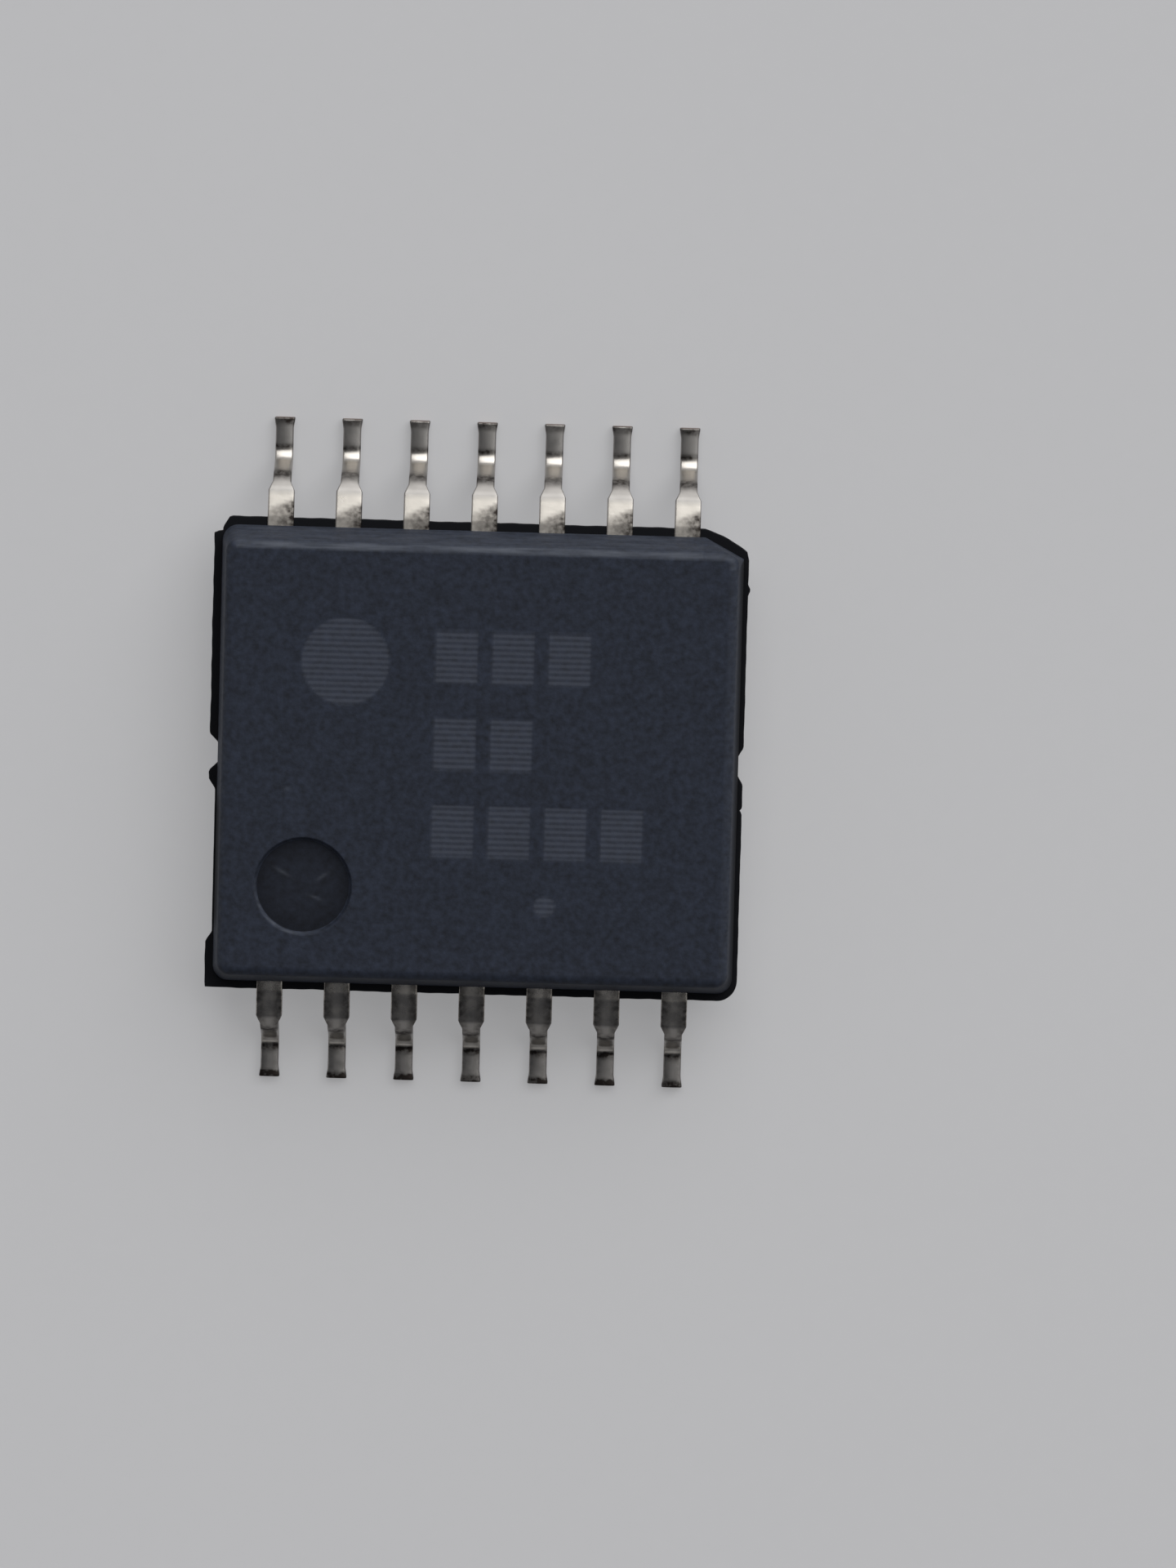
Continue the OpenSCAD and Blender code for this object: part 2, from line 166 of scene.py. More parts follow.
# Way to the dark part of the sky, and cosines of the angles to it at which the dark starts and is full
DARK_WAY, DARK_START, DARK_FULL = (0.0, -0.45, 0.893), 0.3, 0.72
# Sockets of a Mix node in colour mode: share, colour under, colour over, and the result
SHARE, UNDER, OVER, MIXED = 0, 6, 7, 2


def linear(hex_colour):
    """Turns an sRGB hex colour to the linear values that the shaders take."""
    srgb = np.array([int(hex_colour[i:i + 2], 16) for i in (0, 2, 4)]) / 255
    light = np.where(srgb <= 0.04045, srgb / 12.92, ((srgb + 0.055) / 1.055) ** 2.4)
    return tuple(light.tolist())


def length(name, description, millimetres, least=0):
    """A length setting, given in millimetres and kept in metres."""
    return FloatProperty(
        name=name, description=description, default=millimetres * MM, min=least, unit="LENGTH", precision=6
    )


def angle(name, description, degrees):
    """An angle setting, given in degrees."""
    return FloatProperty(name=name, description=description, default=math.radians(degrees), subtype="ANGLE")


def colour(name, description, hex_colour):
    """A colour setting, given as sRGB hex."""
    return FloatVectorProperty(
        name=name, description=description, default=linear(hex_colour), size=3, min=0, max=1, subtype="COLOR"
    )


class MouldingSettings(bpy.types.PropertyGroup):
    """Sizes and colours of the epoxy moulding."""

    flash_left: length("Left Flash", "Width of the flash on the left end wall", 0.085)
    flash_side: length("Side Flash", "Width of the flash between the leads", 0.08)
    flash_thickness: length("Flash Thickness", "Thickness of the flash at its root", 0.1)
    end_draft: angle("End Draft", "Lean of the end walls from vertical", 8)
    side_draft: angle("Side Draft", "Lean of the lead-side walls from vertical", 15)
    corner_radius: length("Corner Radius", "Radius of the corners at the parting line", 0.15)
    edge_radius: length("Edge Radius", "Radius round the top and bottom faces", 0.1)
    window_mouth: length("Window Mouth", "Width of a tie-bar window at the edge of the flash", 0.36)
    window_floor: length("Window Floor", "Width of a tie-bar window at the wall", 0.2)
    break_start: length("Break Start", "Start of the broken flash on the left end, from the middle", 0.26)
    break_length: length("Break Length", "Length of the broken flash on the left end", 1.57)
    break_slant: length("Break Slant", "Length of the slanted ends of the broken flash", 0.09)
    break_root: length("Break Root", "Width of flash left standing where it is broken", 0.02)
    corner_chip: length("Corner Chip", "Size of the chip off the flash at the left rear corner", 0.15)
    front_radius: length("Front Radius", "Radius of the flash at the right front corner", 0.2)
    gate_cut_x: length("Gate Cut X", "Length of the gate break along the lead row", 0.43)
    gate_cut_y: length("Gate Cut Y", "Length of the gate break along the end wall", 0.23)
    gate_bulge: length("Gate Bulge", "Rise of the gate break over a straight line", 0.03)
    gate_setback: length("Gate Setback", "How far the body stands back behind the gate break", 0.05)
    spur_reach: length("Spur Reach", "How far the spur on the right end stands out from the flash", 0.025)
    spur_drop: length("Spur Drop", "Distance of the spur from the gate break", 0.35)
    spur_length: length("Spur Length", "Length of the spur where it leaves the flash", 0.1)
    pin1_diameter: length("Pin-1 Diameter", "Diameter of the pin-1 recess", 0.94)
    pin1_depth: length("Pin-1 Depth", "Depth of the pin-1 recess", 0.05)
    pin1_from_end: length("Pin-1 From End", "Centre of the pin-1 recess from the end wall", 0.86)
    pin1_from_side: length("Pin-1 From Side", "Centre of the pin-1 recess from the side wall", 0.98)
    ejector_diameter: length("Ejector Diameter", "Diameter of the ejector mark underneath", 1)
    ejector_depth: length("Ejector Depth", "Depth of the ejector mark underneath", 0.03)
    recess_draft: angle("Recess Draft", "Lean of the walls of the recesses from vertical", 25)
    block_width: length("Block Width", "Width of a laser-marked block", 0.4)
    block_height: length("Block Height", "Height of a laser-marked block", 0.5)
    block_gap: length("Block Gap", "Gap between laser-marked blocks", 0.14)
    row_drop: length("Row Drop", "Distance from one row of blocks to the next", 0.84)
    laser_spot: length("Laser Spot", "Width over which a laser mark fades out", 0.03)
    laser_depth: length("Laser Depth", "Depth to which the laser burns", 0.004)
    grid_spacing: length("Grid Spacing", "Spacing of the points on the top face", 0.021)
    epoxy_colour: colour("Epoxy", "Colour of the moulding compound", "1D222D")
    mark_colour: colour("Laser Mark", "Colour of the laser-marked blocks", "464A54")


class LeadSettings(bpy.types.PropertyGroup):
    """Sizes and colours of the formed leads."""

    foot_length: length("Foot Length", "Flat length of the foot", 0.3)
    foot_width: length("Foot Width", "Width of a lead at its foot", 0.2)
    shoulder_width: length("Shoulder Width", "Width of a lead where it leaves the body", 0.25)
    taper_length: length("Taper", "Length of the taper between shoulder and foot", 0.06)
    waist_width: length("Waist Width", "Width of a lead along its leg and most of its foot", 0.17)
    flare_length: length("Flare", "Length of the flare at the toe", 0.1)
    shoulder_slope: angle("Shoulder Slope", "Slope of the shoulder below level", 10)
    leg_angle: angle("Leg Angle", "Angle of the leg above horizontal", 70)
    knee_radius: length("Knee Radius", "Upper bend radius at the middle of the metal", 0.12)
    heel_radius: length("Heel Radius", "Lower bend radius at the middle of the metal", 0.18)
    tip_width: length("Tip Width", "Width of the finger tip inside the body", 0.2)
    tip_length: length("Tip Length", "Straight length of the finger tip", 0.25)
    tip_pitch: length("Tip Pitch", "Spacing of the finger tips", 0.42)
    root_length: length("Root Length", "Straight length of a lead inside the body wall", 0.3)
    pitch: length("Pitch", "Spacing of the leads", 0.65)
    tin_colour: colour("Tin", "Colour of the tin plating", "CFC9BF")
    copper_colour: colour("Copper", "Colour of the bare copper", "B87850")


class StageSettings(bpy.types.PropertyGroup):
    """Camera and floor."""

    distance: length("Camera Distance", "Distance from the camera to its aim point", 100)
    lens: FloatProperty(
        name="Lens", description="Focal length on a 36 mm sensor", default=238.9, unit="CAMERA"
    )
    tilt_x: angle("Tilt X", "Lean of the camera towards the right end", 0.24)
    tilt_y: angle("Tilt Y", "Lean of the camera towards the rear row", 6.2)
    roll: angle("Roll", "Turn of the chip in the picture, clockwise", 1.6)
    aim_x: length("Aim X", "Aim point along the lead rows", 1.063, least=-1)
    aim_y: length("Aim Y", "Aim point across the lead rows", -0.213, least=-1)
    floor_colour: colour("Floor", "Colour of the floor", "818182")
    glow_colour: colour("Glow", "Scattered light that is seen in the floor", "8C8C8D")


def outline(half_x, half_y, radii, share_x, share_y):
    """Rounded rectangle of points, anticlockwise from the middle of the right front corner.

    Each side is half a corner arc, a straight run with points at the given shares of its length, and
    half of the next arc. radii go from the right front corner round to the left front one.
    """
    turn = np.linspace(0, math.pi / 4, ARC_STEPS + 1)
    radii = np.asarray(radii, float)
    middle = np.array([[1, -1], [1, 1], [-1, 1], [-1, -1]]) * (np.array([half_x, half_y]) - radii[:, None])
    sides = []
    for corner in range(4):
        after = (corner + 1) % 4
        facing = corner * math.pi / 2
        into = facing - math.pi / 4 + turn
        away = facing + turn[:-1]
        first = middle[corner] + radii[corner] * np.stack([np.cos(into), np.sin(into)], 1)
        last = middle[after] + radii[after] * np.stack([np.cos(away), np.sin(away)], 1)
        share = (share_y, share_x)[corner % 2]
        run = first[-1] + share[:, None] * (last[0] - first[-1])
        sides += [first, run, last]
    return np.concatenate(sides)


def inner_shares(count):
    """Evenly spaced shares between 0 and 1, without the two ends."""
    return np.linspace(0, 1, count + 2)[1:-1]


def ease(t):
    """Smooth step from 0 to 1 as t goes from 0 to 1."""
    t = np.clip(t, 0, 1)
    return t * t * (3 - 2 * t)


def bell(place, middle, half_width):
    """Bell curve along a line: 1 at the middle, 1/e at its half width."""
    return np.exp(-((place - middle) / half_width) ** 2)


def sheet_faces(grid):
    """Quads between neighbouring points of an open grid of point numbers."""
    return np.stack([grid[:-1, :-1], grid[1:, :-1], grid[1:, 1:], grid[:-1, 1:]], -1).reshape(-1, 4)


def band_faces(rings):
    """Quads between neighbouring rows of a table of point numbers whose columns close on themselves."""
    return sheet_faces(np.hstack([rings, rings[:, :1]]))


def fan_faces(ring, pole):
    """Triangles from a closed ring of point numbers to a pole."""
    return np.stack([ring, np.full_like(ring, pole), np.roll(ring, -1)], -1)


def make_piece(name, points, quads, triangles, material, attributes=()):
    """Puts arrays of points and faces into a smooth mesh object at the origin, with its point attributes."""
    mesh = bpy.data.meshes.new(name)
    corners = np.concatenate([quads.ravel(), triangles.ravel()]).astype(np.int32)
    sizes = np.concatenate([np.full(len(quads), 4), np.full(len(triangles), 3)])
    mesh.vertices.add(len(points))
    mesh.vertices.foreach_set("co", points.astype(np.float32).ravel())
    mesh.loops.add(len(corners))
    mesh.loops.foreach_set("vertex_index", corners)
    mesh.polygons.add(len(sizes))
    mesh.polygons.foreach_set("loop_start", (np.cumsum(sizes) - sizes).astype(np.int32))
    mesh.polygons.foreach_set("use_smooth", np.ones(len(sizes), bool))
    mesh.update(calc_edges=True)
    if mesh.validate():
        raise RuntimeError(f"{name} has faulty faces")
    mesh.set_sharp_from_angle(angle=SHARP_ANGLE)
    for key, values in dict(attributes).items():
        layer = mesh.attributes.new(key, "FLOAT", "POINT")
        layer.data.foreach_set("value", values.astype(np.float32))
    mesh.materials.append(material)
    piece = bpy.data.objects.new(name, mesh)
    bpy.context.scene.collection.objects.link(piece)
    return piece


def fill(tree, node, inputs):
    """Sets or links inputs of a node."""
    for key, value in inputs.items():
        if isinstance(value, bpy.types.NodeSocket):
            tree.links.new(value, node.inputs[key])
        else:
            node.inputs[key].default_value = value


def add(tree, kind, inputs=None, output=0, **settings):
    """Adds a shader node with its inputs and settings, and gives one of its outputs, if it has any."""
    node = tree.nodes.new("ShaderNode" + kind)
    for key, value in settings.items():
        setattr(node, key, value)
    fill(tree, node, inputs or {})
    return node.outputs[output] if node.outputs else None


def new_material(name):
    """A material with no more than its shader, as (material, tree, shader, Object coordinates)."""
    material = bpy.data.materials.new(name)
    material.use_nodes = True
    tree = material.node_tree
    tree.nodes.clear()
    surface = add(tree, "BsdfPrincipled")
    add(tree, "OutputMaterial", {"Surface": surface})
    return material, tree, surface.node, add(tree, "TexCoord", output="Object")


def per_size(millimetres):
    """Texture scale at which one cell of a pattern is that many millimetres."""
    return 1 / (millimetres * MM)


def opaque(tone, share=1):
    """A linear colour, made darker or lighter by a share, with full alpha."""
    return (*(share * value for value in tone), 1)


def moulded_epoxy(settings):
    """Silica-filled epoxy compound, moulded against a spark-eroded steel cavity.

    To the eye it is blue-black and matt, with a fine grain, mottled by the filler under the skin. It is
    greyer where it is rubbed or burnt by a laser. Painted shade makes it black on the flash, down the end
    walls and on the floor of the recess, and a painted highlight makes it grey over the rear wall and its
    edge, the end edges, on the left wall and on the lip of the recess.
    """
    material, tree, shader, place = new_material("moulded_epoxy")
    laser, painted_shade, worn_and_lit = (
        add(tree, "Attribute", output="Fac", attribute_name=name) for name in ("laser", "painted_shade", "worn_and_lit")
    )
    # Rubbing and the painted highlight are drawn out along the lead rows, in wisps about 0.4 mm long and
    # 0.05 mm wide
    drawn = add(tree, "Mapping", {"Vector": place, "Scale": (0.5, 4.0, 4.0)})
    # The mix clouds over 0.6 mm, and the largest grains of filler, about 0.06 mm, show through the skin.
    # The skin's own grain is about 0.01 mm, and is drawn at 0.03 mm so that it shows
    cloud, filler, grain, wisp = (
        add(tree, "TexNoise", {"Vector": way, "Scale": per_size(size), "Detail": detail, "Roughness": rough})
        for way, size, detail, rough in (
            (place, 0.6, 5.0, 0.65), (place, 0.06, 2.0, 0.5), (place, 0.03, 3.0, 0.5), (drawn, 0.2, 3.0, 0.5)
        )
    )
    # The laser's lines are 0.055 mm apart; the wave's phase grows by 20 over one unit at scale 1
    line_scale = per_size(0.055) / 20 * math.tau
    hatch = add(
        tree, "TexWave", {"Vector": place, "Scale": line_scale, "Distortion": 0.5}, "Fac",
        bands_direction="Y",
    )
    streak = add(tree, "MapRange", {"Value": wisp, "From Min": 0.38, "From Max": 0.72, "To Min": 0.3})
    scan = add(
        tree, "MapRange", {"Value": hatch, "From Min": 0.2, "From Max": 0.8, "To Min": 0.18, "To Max": 0.45}
    )
    rubbed_and_lit = add(tree, "Math", {0: worn_and_lit, 1: streak}, operation="MULTIPLY")
    burnt = add(tree, "Math", {0: scan, 1: laser}, operation="MULTIPLY")
    cloudy = add(tree, "Math", {0: cloud, 1: 0.1}, operation="MULTIPLY")
    mottle = add(tree, "Math", {0: filler, 1: 0.9, 2: cloudy}, operation="MULTIPLY_ADD")
    # The filler mottles the skin, from near black to almost twice the compound's own colour
    skin = opaque(settings.epoxy_colour, 0.04)
    for share, tone in (
        (mottle, opaque(settings.epoxy_colour, 1.9)),
        # Painted shade: black on the flash, down the end walls and in the recess
        (painted_shade, opaque(linear("06070B"))),
        # Painted highlight on the rear and end edges, the left wall and the recess lip, and rubbing of the
        # scratch and the scuffs
        (rubbed_and_lit, opaque(linear("4C5058"))),
        (burnt, opaque(settings.mark_colour)),
    ):
        skin = add(tree, "Mix", {SHARE: share, UNDER: skin, OVER: tone}, MIXED, data_type="RGBA")
    rough = add(tree, "MapRange", {"Value": painted_shade, "To Min": 0.7, "To Max": 1.0})
    bump = add(tree, "Bump", {"Strength": 0.5, "Distance": 0.004 * MM, "Height": grain})
    fill(tree, shader, {"Base Color": skin, "Roughness": rough, "Normal": bump})
    fill(tree, shader, {"IOR": 1.5, "Specular IOR Level": 0.22})
    return material


def matt_tin(settings):
    """Matt tin plated on copper strip, then bent in a forming tool and cut at the toe.

    To the eye it is a soft warm silver with a fine crystalline grain and shallow dents, duller outwards
    of the knee, with dirt on the toe, a film of resin on the roots of the rear row, and copper-brown at the
    cut end. Painted shade darkens it outwards of the knee, in a band at the top of the leg that stands for
    a dark reflection, at the heel, down the sides of the front leads and along the right sides of the
    rear roots.
    """
    material, tree, shader, place = new_material("matt_tin_plate")
    dull_and_shaded, dirt_and_shade, cut, scraped = (
        add(tree, "Attribute", output="Fac", attribute_name=name)
        for name in ("dull_and_shaded", "dirt_and_shade", "cut", "scraped")
    )
    # Tin crystals are about 0.004 mm, and are drawn at 0.02 mm so that they show. The plating clouds over
    # 0.11 mm, dirt and painted shade lie in patches of about 0.05 mm, and dents are about 0.08 mm wide
    grain, blotch, patch, dents = (
        add(tree, "TexNoise", {"Vector": place, "Scale": per_size(size), "Detail": detail})
        for size, detail in ((0.02, 4.0), (0.11, 2.0), (0.05, 2.0), (0.08, 1.0))
    )
    patchy = add(
        tree, "MapRange", {"Value": patch, "From Min": 0.35, "From Max": 0.65, "To Min": 0.6, "To Max": 1.3}
    )
    patchy_dirt_and_shade = add(tree, "Math", {0: dirt_and_shade, 1: patchy}, operation="MULTIPLY", use_clamp=True)
    # Cloudy tin, with the tool's dullness and painted shade, the dirt and painted shade, and the cut end
    # over it
    skin = opaque(settings.tin_colour, 0.72)
    for share, tone in (
        (blotch, settings.tin_colour),
        # Painted shade outwards of the knee, with the tool's dullness
        (dull_and_shaded, linear("96938F")),
        # Dirt on the toe, and painted shade on leg, heel, lead sides and rear roots
        (patchy_dirt_and_shade, linear("342F2C")),
        (cut, linear("7C5E4C")),
    ):
        skin = add(tree, "Mix", {SHARE: share, UNDER: skin, OVER: opaque(tone)}, MIXED, data_type="RGBA")
    rough = add(tree, "MapRange", {"Value": blotch, "To Min": 0.2, "To Max": 0.34})
    for share, rise in ((dull_and_shaded, 0.08), (scraped, 0.25)):
        rough = add(tree, "Math", {0: share, 1: rise, 2: rough}, operation="MULTIPLY_ADD")
    dented = add(tree, "Bump", {"Strength": 0.1, "Distance": 0.006 * MM, "Height": dents})
    bump = add(tree, "Bump", {"Strength": 0.1, "Distance": 0.002 * MM, "Height": grain, "Normal": dented})
    fill(tree, shader, {"Base Color": skin, "Metallic": 1.0, "Roughness": rough, "Normal": bump})
    return material


def rolled_copper(settings):
    """Rolled copper-alloy strip, stamped for the die pad: pink-brown, satin, with fine rolling lines."""
    material, tree, shader, place = new_material("rolled_copper_strip")
    drawn = add(tree, "Mapping", {"Vector": place, "Scale": (0.05, 1.0, 1.0)})
    line = add(tree, "TexNoise", {"Vector": drawn, "Scale": per_size(0.02), "Detail": 3.0})
    deep, copper = opaque(settings.copper_colour, 0.7), opaque(settings.copper_colour)
    skin = add(tree, "Mix", {SHARE: line, UNDER: deep, OVER: copper}, MIXED, data_type="RGBA")
    bump = add(tree, "Bump", {"Strength": 0.3, "Distance": 0.001 * MM, "Height": line})
    fill(tree, shader, {"Base Color": skin, "Metallic": 1.0, "Roughness": 0.35, "Normal": bump})
    return material


def silver_adhesive():
    """Silver-flake epoxy under the die: pale grey paste, matt, with a coarse flaky glitter."""
    material, tree, shader, place = new_material("silver_filled_epoxy")
    flake = add(tree, "TexVoronoi", {"Vector": place, "Scale": per_size(0.015)}, "Distance")
    pale, grey = opaque(linear("D2D2CC")), opaque(linear("8E8E8A"))
    skin = add(tree, "Mix", {SHARE: flake, UNDER: pale, OVER: grey}, MIXED, data_type="RGBA")
    bump = add(tree, "Bump", {"Strength": 0.5, "Distance": 0.003 * MM, "Height": flake})
    fill(tree, shader, {"Base Color": skin, "Metallic": 0.6, "Roughness": 0.5, "Normal": bump})
    return material


def silicon_die():
    """Sawn silicon chip with metal layers on top: slate grey, glossy, in faint blocks of tinted film."""
    material, tree, shader, place = new_material("sawn_silicon")
    block = add(
        tree, "TexVoronoi", {"Vector": place, "Scale": per_size(0.12)}, "Color", distance="CHEBYCHEV"
    )
    slate, sand = opaque(linear("4A5468")), opaque(linear("7C7468"))
    film = add(tree, "Mix", {SHARE: block, UNDER: slate, OVER: sand}, MIXED, data_type="RGBA")
    fill(tree, shader, {"Base Color": film, "Metallic": 0.7, "Roughness": 0.18})
    return material


def drawn_gold():
    """Fine drawn gold wire: deep yellow, bright, with a trace of die lines."""
    material, tree, shader, place = new_material("drawn_gold_wire")
    trace = add(tree, "TexNoise", {"Vector": place, "Scale": per_size(0.01), "Detail": 2.0})
    deep, bright = opaque(linear("C08A2C")), opaque(linear("E8C060"))
    skin = add(tree, "Mix", {SHARE: trace, UNDER: deep, OVER: bright}, MIXED, data_type="RGBA")
    fill(tree, shader, {"Base Color": skin, "Metallic": 1.0, "Roughness": 0.2})
    return material


def packing_foam(settings):
    """Pale sheet of packing foam: matt, and lit from inside by scattered light, so that shadows stay weak.

    That inner light is only seen, directly, in gloss and through clear things, and lights nothing.
    """
    material, tree, shader, place = new_material("packing_foam")
    tooth = add(tree, "TexNoise", {"Vector": place, "Scale": per_size(0.2), "Detail": 4.0})
    low, card = opaque(settings.floor_colour, 0.96), opaque(settings.floor_colour)
    skin = add(tree, "Mix", {SHARE: tooth, UNDER: low, OVER: card}, MIXED, data_type="RGBA")
    rays = add(tree, "LightPath").node.outputs
    seen = rays["Is Camera Ray"]
    for kind in ("Is Glossy Ray", "Is Transmission Ray"):
        seen = add(tree, "Math", {0: seen, 1: rays[kind]}, operation="MAXIMUM")
    fill(tree, shader, {"Emission Color": opaque(settings.glow_colour), "Emission Strength": seen})
    fill(tree, shader, {"Base Color": skin, "Roughness": 0.9, "Specular IOR Level": 0.2})
    return material


def body_wall(settings):
    """Half length and half width of the body at the parting line."""
    return np.array([-FLASH_LOW.x - settings.flash_left, FLASH_HIGH.y - settings.flash_side])


def gate_normal(settings):
    """Direction that the gate's cut faces, seen from above."""
    normal = np.array([settings.gate_cut_y, settings.gate_cut_x])
    return normal / np.linalg.norm(normal)


def beyond_gate(points, settings):
    """How far each point lies past the plane that takes off the body's right rear corner."""
    corner = np.array([FLASH_HIGH.x - settings.spur_reach, FLASH_HIGH.y]) - settings.gate_setback
    start = corner - [settings.gate_cut_x, 0]
    return np.maximum((points - start) @ gate_normal(settings), 0)


def tie_window(edge, settings):
    """Corners of a tie-bar window in the right end of the flash; its floor lies behind the wall."""
    wall = body_wall(settings)[0]
    floor = wall - settings.edge_radius
    mouth, throat = settings.window_mouth / 2, settings.window_floor / 2
    half = [[floor, throat], [wall, throat], [edge, mouth]]
    return np.array([[x, -y] for x, y in reversed(half)] + half)


def flash_outline(settings):
    """Corners of the flash seen from above, anticlockwise from the left front one.

    The right front corner is round. The right end has a tie-bar window and a spur, and ends at the bulging
    cut of the gate. The left rear corner is chipped, and the left end has a window and a broken stretch.
    """
    wall = body_wall(settings)[0]
    left, right, front, rear = FLASH_LOW.x, FLASH_HIGH.x - settings.spur_reach, FLASH_LOW.y, FLASH_HIGH.y
    radius = settings.front_radius
    turn = np.linspace(-math.pi / 2, 0, CORNER_POINTS)[:, None]
    round_corner = [right - radius, front + radius] + radius * np.hstack([np.cos(turn), np.sin(turn)])
    cut_x, cut_y = settings.gate_cut_x, settings.gate_cut_y
    share = np.linspace(0, 1, GATE_POINTS)[:, None]
    gate = [right, rear - cut_y] + share * [-cut_x, cut_y]
    gate = gate + settings.gate_bulge * np.sin(math.pi * share) * gate_normal(settings)
    spur_y, spur_half = rear - cut_y - settings.spur_drop, settings.spur_length / 2
    spur = [[right, spur_y - spur_half], [right + settings.spur_reach, spur_y], [right, spur_y + spur_half]]
    chip = settings.corner_chip
    chipped = [[left + chip, rear], [-wall, rear - CHIP_SLANT * chip]]
    chipped += [[-wall, rear - chip], [left, rear - chip]]
    start, slant, stump = settings.break_start, settings.break_slant, -wall - settings.break_root
    end = start + settings.break_length
    broken = [[left, -start], [stump, -start - slant], [stump, slant - end], [left, -end]]
    right_window, left_window = tie_window(right, settings), -tie_window(-left, settings)
    corners = [[left, front]], round_corner, right_window, spur, gate, chipped, left_window, broken
    return np.concatenate(corners)


def reach(points, ways, corners):
    """Distance from each point, along its way, to the nearest side of a closed outline; 0 if it meets none.

    Point + distance * way = corner + share * side is solved for every point and side at once.
    """
    def cross(a, b):
        return a[..., 0] * b[..., 1] - a[..., 1] * b[..., 0]

    side = (np.roll(corners, -1, 0) - corners)[None]
    gap = corners[None] - points[:, None]
    way = ways[:, None]
    turn = cross(way, side)
    turn = np.where(turn == 0, np.inf, turn)
    distance, share = cross(gap, side) / turn, cross(gap, way) / turn
    hit = (distance > 0) & (share >= 0) & (share <= 1)
    nearest = np.where(hit, distance, np.inf).min(1)
    return np.where(np.isfinite(nearest), nearest, 0)


def laser_marks(x, y, settings):
    """Share of laser marking at a point: 1 inside plain shapes, falling off over a laser spot.

    The shapes are upright blocks in rows, a disc beside the first row and a dot below the last one.
    """
    wide, tall, spot = settings.block_width, settings.block_height, settings.laser_spot
    share = np.zeros_like(x)
    for row, count in enumerate(MARK_ROWS):
        for place in range(count):
            across = wide / 2 - np.abs(x - MARK_LEFT - place * (wide + settings.block_gap) - wide / 2)
            up = tall / 2 - np.abs(y - MARK_TOP + row * settings.row_drop)
            share = np.maximum(share, ease(np.minimum(across, up) / spot + 0.5))
    for centre_x, centre_y, radius in (DISC, DOT):
        inside = radius - np.hypot(x - centre_x, y - centre_y)
        share = np.maximum(share, ease(inside / spot + 0.5))
    return share


def recess_lip(radius, depth, count, settings):
    """Radius and share of the depth of each ring down a recess's lip, which is a smooth step."""
    share = np.linspace(0, 1, count)
    width = depth * math.tan(settings.recess_draft) + 2 * LIP_ROUND
    return list(zip(radius + LIP_ROUND - share * width, ease(share)))


def wall_rings(settings):
    """Rings of the upper half as (plan, height over the parting plane), their outward ways, steps per side.

    A ring is a rounded rectangle. The first ones turn a quarter circle over the top edge, and the rest
    run down the drafted wall to the lead frame. The gate's plane cuts the right rear corner off them.
    """
    wall_x, wall_y = body_wall(settings)
    edge = settings.edge_radius
    edge_z = (BODY_TOP - BODY_BOTTOM) / 2 - edge
    rise = edge_z - LEAD_THICKNESS / 2
    face_x = wall_x - rise * math.tan(settings.end_draft) - edge / math.cos(settings.end_draft)
    face_y = wall_y - rise * math.tan(settings.side_draft) - edge / math.cos(settings.side_draft)
    shares = [inner_shares(round(2 * half / settings.grid_spacing)) for half in (face_x, face_y)]

    def ring(half_x, half_y, radius):
        return outline(half_x, half_y, np.full(4, radius), *shares)

    # Half length, half width, corner radius and height of each ring
    lean = (settings.end_draft + settings.side_draft) / 2
    turn = np.linspace(math.pi / 2, lean, EDGE_RINGS)
    out = edge * np.cos(turn)
    turned = np.stack([face_x + out, face_y + out, FACE_RADIUS + out, edge_z + edge * np.sin(turn)], 1)
    root = np.array([wall_x, wall_y, settings.corner_radius, LEAD_THICKNESS / 2])
    down = np.linspace(0, 1, WALL_RINGS + 1)[1:, None]
    sizes = np.concatenate([turned, turned[-1] + down * (root - turned[-1])])
    rings = [(ring(*plan), height) for *plan, height in sizes]
    # An even offset moves every point square to its ring by as much
    outwards = (ring(wall_x + edge, wall_y + edge, settings.corner_radius + edge) - rings[-1][0]) / edge
    normal = gate_normal(settings)
    outwards = np.where(beyond_gate(rings[-1][0], settings)[:, None] > 0, normal, outwards)
    cut = [(plan - beyond_gate(plan, settings)[:, None] * normal, height) for plan, height in rings]
    # Each side runs from the middle of one corner to the middle of the next
    return cut, outwards, [2 * ARC_STEPS + 1 + len(share) for share in shares]


def wall_light_and_shade(upper, outwards, settings):
    """How much painted highlight and how much painted shade each point of the upper wall has, ring by ring.

    A painted highlight lies on the rear wall, most of all on the turned edge above it, and on the turned
    edges of the ends, and the left wall is painted lighter. Painted shade, black, grows down the right
    wall, and down the left one where its flash is broken.
    """
    ways = outwards[:, 1], outwards[:, 0], -outwards[:, 0]
    rear, right, left = (ease((way - FACING) / (1 - FACING)) for way in ways)
    along = -upper[-1][0][:, 1] - settings.break_start
    broken = left * ease(along / LIGHT_AND_SHADE_FADE) * ease((settings.break_length - along) / LIGHT_AND_SHADE_FADE)
    ring = np.arange(len(upper)) - EDGE_RINGS + 1
    tables = OVER_EDGE, EDGE_FOOT, ON_WALL, WALL_SHADE
    over_edge, edge_foot, wall, down_wall = (np.interp(ring, *table) for table in tables)
    rubbed_and_lit = REAR_HIGHLIGHT * np.outer(over_edge, rear) + END_HIGHLIGHT * np.outer(edge_foot, right + left)
    rubbed_and_lit += LEFT_LIGHT * np.outer(wall, left - broken)
    return rubbed_and_lit.ravel(), np.outer(down_wall, right + broken).ravel()


